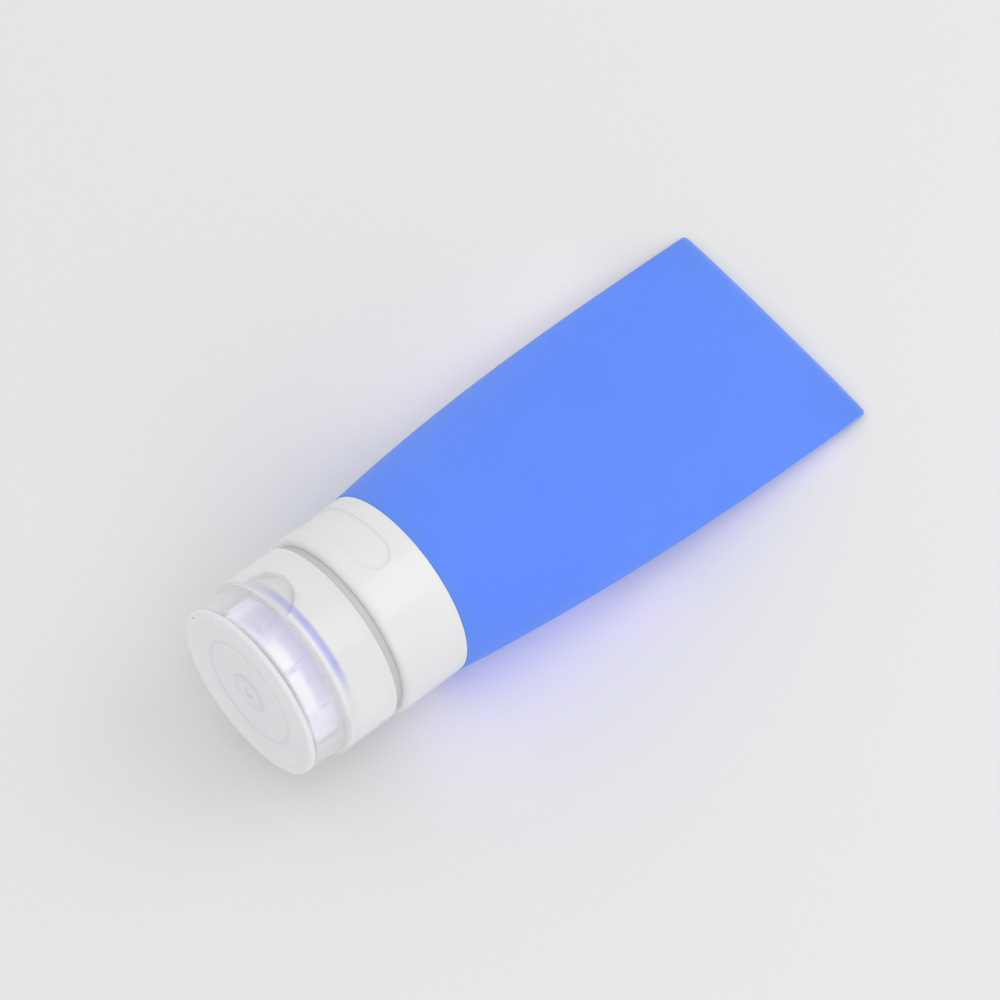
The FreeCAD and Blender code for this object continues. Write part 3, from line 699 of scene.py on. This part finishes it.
def shape_cap(place, radius, angle):
    """Ribs: radius + height on the tower's wall. Pocket: radius <= back / cos(angle).

    Notch: radius <= floor within the notch's radius of a point just in front of the rim,
    measured as hypot(R * sin(angle from the notch), place - notch place), with a short
    soft step.
    """
    from_rib = np.abs((angle - RIB_ANGLE + RIB_STEP / 2) % RIB_STEP - RIB_STEP / 2)
    on_rib = (from_rib < RIB_HALF_ANGLE + 0.01) & (np.abs(radius - TOWER_RADIUS) < 0.01)
    on_rib &= (place > MOAT_FLOOR - 0.01) & (place < RIB_TOP + 0.01)
    radius = radius + np.where(on_rib, RIB_HEIGHT, 0.0)
    turn = angle_from(angle, HINGE_ANGLE)
    in_pocket = (np.abs(turn) < POCKET_HALF_ANGLE + 0.01) & (place > POCKET_FLOOR + 0.02)
    in_pocket &= radius > MOAT_RADIUS - 0.1
    flat = POCKET_BACK / np.cos(np.radians(turn.clip(-60, 60)))
    radius = np.where(in_pocket, np.minimum(radius, flat), radius)
    turn = np.radians(angle_from(angle, NOTCH_ANGLE))
    away = np.hypot(CAP_RADIUS * np.sin(turn), place - NOTCH_PLACE)
    step = ((NOTCH_RADIUS - away) / NOTCH_STEP + 0.5).clip(0.0, 1.0) * (np.cos(turn) > 0)
    return place, radius - step * step * (3 - 2 * step) * (radius - NOTCH_FLOOR).clip(0.0)


ring_corners = rounded_profile([
    (CAP_BACK, CAP_BORE, 0.1), (CAP_BACK, CAP_RADIUS, 0.45), (POCKET_FLOOR, CAP_RADIUS, 0.0),
    (POCKET_FLOOR + 0.03, CAP_RADIUS, 0.0), (CAP_FRONT, CAP_RADIUS, 0.35),
    (CAP_FRONT, MOAT_RADIUS, 0.15), (MOAT_FLOOR, MOAT_RADIUS, 0.15),
    (MOAT_FLOOR, MOULD_PART, 0.0), (DECK_BACK, MOULD_PART, 0.0), (DECK_BACK, CAP_BORE, 0.1)])
tower_corners = rounded_profile([
    (DECK_BACK, TOWER_BORE, 0.2), (DECK_BACK, TOWER_RADIUS, 0.0),
    (MOAT_FLOOR, TOWER_RADIUS, 0.0), (RIB_TOP, TOWER_RADIUS, 0.0),
    (RIB_TOP + 0.03, TOWER_RADIUS, 0.0), (TOWER_TOP, TOWER_RADIUS, 0.8),
    (TOWER_TOP, OUTLET_RADIUS, 0.2), (TOWER_CEILING, OUTLET_RADIUS, 0.2),
    (TOWER_CEILING, TOWER_BORE, 0.2)])
rib_edges = RIB_ANGLE + RIB_STEP * np.arange(9)[:, None] \
    + RIB_HALF_ANGLE * np.array([-1.12, -1.0, 0.0, 1.0, 1.12])[None, :]
pocket_edges = HINGE_ANGLE + POCKET_HALF_ANGLE * np.array([-1.003, -1.0, 1.0, 1.003])
cap_angles = np.unique(np.round(np.concatenate([
    np.linspace(0.0, 360.0, 240, endpoint=False), rib_edges.ravel() % 360.0,
    pocket_edges % 360.0, NOTCH_ANGLE + np.linspace(-22.5, 22.5, 110)]), 3))
for name, corners, material in (("clear_cap", resampled(ring_corners, 0.2), clear_plastic),
                                ("clear_tower", tower_corners, tower_plastic)):
    piece = turned_piece(name, corners, cap_angles, shape_cap, sharp=35.0)
    piece.data.materials.append(material)
    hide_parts("cap_base")
    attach(piece, "cap")
    print(name, "has", len(piece.data.polygons), "faces")

# %% [markdown]
# ## The flip lid
#
# The lid is a clear cup with a thin brim. Its roof carries a short plug that closes
# the outlet, and a hollow from outside that holds the disc's stem. At the hinge the
# brim is trimmed straight, to let the hinge's barrel pass.

# %% The lid
LID_BACK, LID_FRONT, LID_ROOF = 28.7, 36.2, 35.0
LID_RADIUS, LID_BORE = 18.4, 17.1
BRIM = 0.6
PLUG_RADIUS, PLUG_END = 4.0, 33.5
SOCKET_MOUTH, SOCKET_RADIUS = 2.05, 2.7
SOCKET_STEP, SOCKET_FLOOR = 35.4, 34.4


def trim_brim(place, radius, angle):
    """Brim: radius <= lid's radius / cos(angle from the hinge) over the pocket's width."""
    on_brim = (place < LID_BACK + BRIM + 0.01) & (radius > LID_RADIUS + 0.03)
    turn = angle_from(angle, HINGE_ANGLE)
    flat = LID_RADIUS / np.cos(np.radians(turn.clip(-60, 60)))
    trimmed = (np.abs(turn) < POCKET_HALF_ANGLE) & on_brim
    return place, np.where(trimmed, np.minimum(radius, flat), radius)


lid_profile = rounded_profile([
    (LID_BACK, LID_BORE, 0.1), (LID_BACK, CAP_RADIUS, 0.12), (LID_BACK + BRIM, CAP_RADIUS, 0.18),
    (LID_BACK + BRIM, LID_RADIUS, 0.1), (LID_FRONT, LID_RADIUS, 0.6),
    (LID_FRONT, SOCKET_MOUTH, 0.1), (SOCKET_STEP, SOCKET_MOUTH, 0.05),
    (SOCKET_STEP, SOCKET_RADIUS, 0.05), (SOCKET_FLOOR, SOCKET_RADIUS, 0.05),
    (SOCKET_FLOOR, 0.0, 0.0), (PLUG_END, 0.0, 0.0), (PLUG_END, PLUG_RADIUS, 0.35),
    (LID_ROOF, PLUG_RADIUS, 0.2), (LID_ROOF, LID_BORE, 0.5)])
lid_angles = np.unique(np.round(np.concatenate([
    np.linspace(0.0, 360.0, 240, endpoint=False), pocket_edges % 360.0]), 3))
lid = turned_piece("clear_lid", lid_profile, lid_angles, trim_brim, sharp=35.0)
lid.data.materials.append(lid_plastic)
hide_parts("flip_lid")
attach(lid, "lid")
print("The lid has", len(lid.data.polygons), "faces")

# %% [markdown]
# ## The hinge
#
# Two ears on the cap hold the pin of the lid's barrel. Seen along the hinge's line,
# each of these parts is a round with a block grown to one side: the ears' block stands
# on the pocket's floor, and the barrel's block joins the lid's wall. So one function
# gives the distance from the pin to the outline, and a bar is that outline carried
# along the hinge's line, with its edges a little drawn in.

# %% Ears, barrel and pin
HINGE_PLACE, HINGE_RADIUS = 27.6, 18.0
BAR_RADIUS, PIN_RADIUS, PIN_HOLE, BAR_EDGE = 0.9, 0.4, 0.45, 0.1
OUTWARDS = np.cos(np.radians(HINGE_ANGLE)) * NEAR_SIDE \
    + np.sin(np.radians(HINGE_ANGLE)) * STRAIGHT_UP
HINGE_LINE = np.cross(OUTWARDS, TO_CAP)


def hinge_bar(name, start, end, radius, toward=1.0, block=(0.0, 0.0, 0.0), hole=0.0):
    """Point = pin + r(t) * (sin(t) * toward * to cap + cos(t) * outwards) + u * hinge line.

    r(t) is the larger of the radius and the block's edge, min(height / sin(t), side /
    |cos(t)|), where the block is (height, inner side, outer side).
    """
    turn = np.linspace(0.0, 2 * np.pi, 96, endpoint=False)
    height, inner, outer = block
    side = np.where(np.cos(turn) > 0, outer, inner) / np.abs(np.cos(turn)).clip(1e-3)
    edge = np.minimum(height / np.sin(turn).clip(1e-3), side)
    full = np.maximum(radius, np.where(np.sin(turn) > 0, edge, 0.0))
    reach = np.stack([np.full_like(full, hole), full - BAR_EDGE, full, full,
                      full - BAR_EDGE, np.full_like(full, hole)])
    along = np.array([start, start, start + BAR_EDGE, end - BAR_EDGE, end, end])
    along = along[:, None, None]
    out = reach * np.cos(turn)
    up = reach * np.sin(turn) * toward
    points = BACK_EDGE + 0.001 * ((HINGE_PLACE + up)[..., None] * TO_CAP + along * HINGE_LINE
                                  + (HINGE_RADIUS + out)[..., None] * OUTWARDS)
    return mesh_from_grid(name, points, wrap_rows=hole > 0, wrap_columns=True, sharp=35.0)


for name, start, end in (("cap_ear_near", -4.8, -2.8), ("cap_ear_far", 2.8, 4.8)):
    ear = hinge_bar(name, start, end, BAR_RADIUS, -1.0, (1.25, 1.35, BAR_RADIUS), PIN_HOLE)
    ear.data.materials.append(clear_plastic)
    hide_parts("cap_base")
    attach(ear, "cap")
barrel = hinge_bar("lid_barrel", -2.6, 2.6, BAR_RADIUS, 1.0, (1.4, BAR_RADIUS, 0.4))
pin = hinge_bar("lid_pin", -4.6, 4.6, PIN_RADIUS)
for piece in (barrel, pin):
    piece.data.materials.append(lid_plastic)
    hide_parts("flip_lid")
    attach(piece, "lid")
print("The hinge's line runs along", np.round(HINGE_LINE, 3))

# %% [markdown]
# ## The suction disc
#
# The disc on the lid's face is soft and a little cloudy. It is dished, so that it can
# hold to a smooth wall, and carries a thin raised ring and, in the middle, a small
# button with a dimple from the mould. A stem with a bulb at its end holds it in the lid.

# %% The disc
DISC_RADIUS, DISC_FRONT, DISC_DISH = 18.34, 37.45, 36.95
BULB_END, BULB_RADIUS, BULB_NECK, STEM_RADIUS = 34.5, 2.65, 35.35, 2.0
MARK_RADIUS, MARK_TOP = 11.4, 37.1
BUTTON_RADIUS, BUTTON_HOLE, BUTTON_TOP = 4.15, 1.0, 37.15
disc_profile = rounded_profile([
    (BULB_END, 0.0, 0.0), (BULB_END, 1.95, 0.1), (34.95, BULB_RADIUS, 0.1),
    (BULB_NECK, BULB_RADIUS, 0.05), (BULB_NECK, STEM_RADIUS, 0.05),
    (LID_FRONT, STEM_RADIUS, 0.05), (LID_FRONT, DISC_RADIUS, 0.3),
    (DISC_FRONT, DISC_RADIUS, 0.35), (DISC_FRONT, 17.24, 0.3),
    (DISC_DISH, 16.04, 0.4), (DISC_DISH, MARK_RADIUS + 0.3, 0.1), (MARK_TOP, MARK_RADIUS, 0.1),
    (DISC_DISH, MARK_RADIUS - 0.3, 0.1), (DISC_DISH, BUTTON_RADIUS + 0.1, 0.05),
    (BUTTON_TOP, BUTTON_RADIUS, 0.05), (BUTTON_TOP, BUTTON_HOLE, 0.05),
    (DISC_DISH, BUTTON_HOLE - 0.05, 0.05), (DISC_DISH, 0.0, 0.0)])
disc = turned_piece("clear_disc", disc_profile, sharp=50.0)
disc.data.materials.append(disc_silicone)
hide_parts("suction_disc")
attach(disc, "lid")
print("The disc has", len(disc.data.polygons), "faces")

# %% [markdown]
# ## Blue and violet in the clear pieces
#
# Light from the blue tube and the violet valve is bent by the clear plastic, and shows
# as a bluish strip in the ring and as violet patches on the tower. Following the bent
# light is slow and leaves noise. So each patch is painted light: a soft tint over the
# finish, found by its place, angle and radius on the piece, and it looks the same from
# any side. Two pale patches on the tower are painted highlights, and by the notch the
# ring and the tower get painted shade. The disc's mould rings and the two dark specks
# of dirt at its rim are laid on in this way too.

# %% Painted light, painted shade and dirt over a finish


def light_and_dirt_patch(material, colour, strength, **bands):
    """Base = mix(base, colour, strength * band * band), laid over what is there.

    Each band is (low, high, soft) of the place, the radius or the angle, which runs from
    -180 to 180 here, and a patch takes two of them.
    """
    nodes, link = material.node_tree.nodes, material.node_tree.links.new
    spot = nodes.new("ShaderNodeGroup")
    spot.node_tree = AXIS_PLACE
    both, amount = nodes.new("ShaderNodeMath"), nodes.new("ShaderNodeMath")
    both.operation = amount.operation = "MULTIPLY"
    amount.inputs[1].default_value = strength
    for index, (quantity, limits) in enumerate(bands.items()):
        band = nodes.new("ShaderNodeGroup")
        band.node_tree = SOFT_BAND
        for label, value in zip(("Low", "High", "Soft"), limits):
            band.inputs[label].default_value = value
        link(spot.outputs[quantity], band.inputs["Value"])
        link(band.outputs["Mask"], both.inputs[index])
    mix = nodes.new("ShaderNodeMix")
    mix.data_type = "RGBA"
    mix.inputs["B"].default_value = (*colour, 1.0)
    base = nodes["Principled BSDF"].inputs["Base Color"]
    link(base.links[0].from_socket, mix.inputs["A"])
    link(both.outputs[0], amount.inputs[0])
    link(amount.outputs[0], mix.inputs["Factor"])
    link(mix.outputs["Result"], base)


PAINTED_HIGHLIGHT, FROSTED, NOTCH_SHADE = (0.95, 0.95, 0.96), (0.72, 0.72, 0.75), (0.60, 0.60, 0.61)
VIOLET, BLUISH, DIRT = (0.48, 0.46, 0.72), (0.40, 0.42, 1.0), (0.08, 0.08, 0.08)
RIB_EDGE = 2.5
rib = (RIB_ANGLE - RIB_EDGE, RIB_ANGLE + RIB_EDGE, 2.0)
before_rib = (25.0, RIB_ANGLE - RIB_EDGE, 3.0)
after_rib = (RIB_ANGLE + RIB_EDGE, 90.0, 3.0)

# %% The tower: painted highlights beside a rib, violet below them, painted shade over the notch, a frosted face
# Two pale patches beside a rib are painted highlights.
light_and_dirt_patch(tower_plastic, PAINTED_HIGHLIGHT, 1.0, Place=(31.4, 34.2, 0.3), Angle=after_rib)
light_and_dirt_patch(tower_plastic, PAINTED_HIGHLIGHT, 1.0, Place=(31.4, 34.2, 0.3), Angle=before_rib)
light_and_dirt_patch(tower_plastic, VIOLET, 0.45, Place=(29.0, 33.8, 1.0), Angle=rib)
# Over the notch the violet is painted bent light and painted shade.
light_and_dirt_patch(tower_plastic, VIOLET, 0.9, Place=(28.0, 33.0, 1.5), Angle=(98.0, 130.0, 12.0))
light_and_dirt_patch(tower_plastic, VIOLET, 0.5, Place=(28.0, 31.0, 1.0), Angle=(25.0, 95.0, 8.0))
light_and_dirt_patch(tower_plastic, FROSTED, 0.9, Place=(34.0, 40.0, 0.3), Radius=(0.0, 13.6, 0.6))

# %% The ring: painted shade by the notch, and a bluish strip, strongest in its middle
# The grey over the notch is painted shade.
light_and_dirt_patch(clear_plastic, NOTCH_SHADE, 0.3, Place=(23.5, 29.0, 1.0), Angle=(96.0, 130.0, 6.0))
light_and_dirt_patch(clear_plastic, BLUISH, 0.05, Place=(25.9, 27.5, 0.6), Radius=(18.0, 22.0, 0.5))
light_and_dirt_patch(clear_plastic, BLUISH, 0.48, Place=(25.9, 27.5, 0.6), Angle=(44.0, 116.0, 22.0))
light_and_dirt_patch(clear_plastic, BLUISH, 0.35, Place=(26.0, 27.4, 0.6), Angle=(48.0, 90.0, 14.0))

# %% The disc: its mould rings, one of them darker below, and two specks
disc_front = (36.0, 38.0, 0.5)
light_and_dirt_patch(disc_silicone, VIOLET, 0.14, Radius=(10.9, 11.9, 0.5), Place=disc_front)
light_and_dirt_patch(disc_silicone, VIOLET, 0.24, Radius=(10.9, 11.9, 0.5), Angle=(-150.0, -70.0, 50.0))
light_and_dirt_patch(disc_silicone, VIOLET, 0.16, Radius=(2.9, 4.4, 0.5), Place=disc_front)
light_and_dirt_patch(disc_silicone, VIOLET, 0.16, Radius=(0.6, 1.7, 0.5), Place=disc_front)
light_and_dirt_patch(disc_silicone, DIRT, 1.0, Radius=(17.3, 17.7, 0.1), Angle=(157.3, 158.7, 0.3))
light_and_dirt_patch(disc_silicone, DIRT, 1.0, Place=(36.45, 36.8, 0.1), Angle=(157.2, 158.8, 0.3))
print("Nodes in the tower's finish:", len(tower_plastic.node_tree.nodes))

# %% [markdown]
# ## Pieces kept from the model
#
# The washer, the valve and its ring sit out of sight inside the cap. Their shapes are
# right as they come, so they only get a finish.

# %% Finishes for the hidden pieces
for node, material in (("sealing_washer", washer_rubber), ("valve", valve_silicone),
                       ("valve_ring", ring_plastic)):
    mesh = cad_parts[node].data
    mesh.materials.clear()
    mesh.materials.append(material)
    print(node, "has", len(mesh.polygons), "faces")

# %% [markdown]
# ## Floor and light
#
# The photograph was taken on a plain pale floor under soft light from all round, with
# a little more from the upper right. The floor is a large plane. The world gives the
# even part, one wide lamp gives the direction and the long soft reflections, and a weak
# one fills the near side. The soft wall also lets a little violet light through on to
# the floor on both sides, which thin strip lamps close above the floor stand for. They
# fall with the tube's height, so that they stay below its widest line.

# %% Floor, world and lamps
FLOOR_REACH = 3.0
floor_corners = np.array([[[-1.0, -1.0, 0.0], [1.0, -1.0, 0.0]],
                          [[-1.0, 1.0, 0.0], [1.0, 1.0, 0.0]]])
floor = mesh_from_grid("floor", FLOOR_REACH * floor_corners)
floor_paint, _, _ = finish("floor_paint", (0.79, 0.79, 0.79), (0.80, 0.80, 0.80), 4.0,
                           0.8, 300.0, 0.00001, Specular_IOR_Level=0.0)
floor.data.materials.append(floor_paint)

world = bpy.data.worlds.new("even_light")
world.use_nodes = True
world.node_tree.nodes["Background"].inputs["Color"].default_value = (1.0, 1.0, 1.0, 1.0)
world.node_tree.nodes["Background"].inputs["Strength"].default_value = 0.88
bpy.context.scene.world = world


def soft_lamp(name, direction, distance, width, power):
    """A square lamp at direction * distance from the origin, facing back towards it."""
    lamp_data = bpy.data.lights.new(name, "AREA")
    lamp_data.shape, lamp_data.size, lamp_data.energy = "SQUARE", width, power
    lamp = bpy.data.objects.new(name, lamp_data)
    bpy.context.scene.collection.objects.link(lamp)
    back = np.array(direction, dtype=float) / np.linalg.norm(direction)
    side = np.cross((0.0, 1.0, 0.01), back)
    side /= np.linalg.norm(side)
    frame_of_lamp = np.eye(4)
    frame_of_lamp[:3, 0], frame_of_lamp[:3, 1] = side, np.cross(back, side)
    frame_of_lamp[:3, 2], frame_of_lamp[:3, 3] = back, back * distance
    lamp.matrix_world = Matrix(frame_of_lamp.tolist())
    return lamp


soft_lamp("key_light", (0.60, -0.35, 0.75), 0.9, 0.7, 1.5)
soft_lamp("fill_light", (-0.50, -0.80, 0.35), 0.6, 0.4, 0.25)
for name, x, y, height, length, power, colour in (
        ("light_through_near_side", -0.013, -0.0285, 0.010, 0.064, 0.00055, (0.78, 0.46, 0.95)),
        ("light_under_near_side", -0.020, -0.0185, 0.006, 0.05, 0.0003, (0.45, 0.36, 1.0)),
        ("light_through_near_end", 0.0415, -0.0275, 0.0043, 0.040, 0.00017, (0.68, 0.42, 1.0)),
        ("light_through_far_side", 0.020, 0.036, 0.012, 0.06, 0.0005, (1.0, 0.62, 0.75))):
    strip = soft_lamp(name, (0.1, 0.0, 1.0), height, length, power)
    strip.data.shape, strip.data.size_y, strip.data.color = "RECTANGLE", 0.006, colour
    strip.location.x, strip.location.y = x, y
print("Lamps:", [lamp.name for lamp in bpy.data.lights])
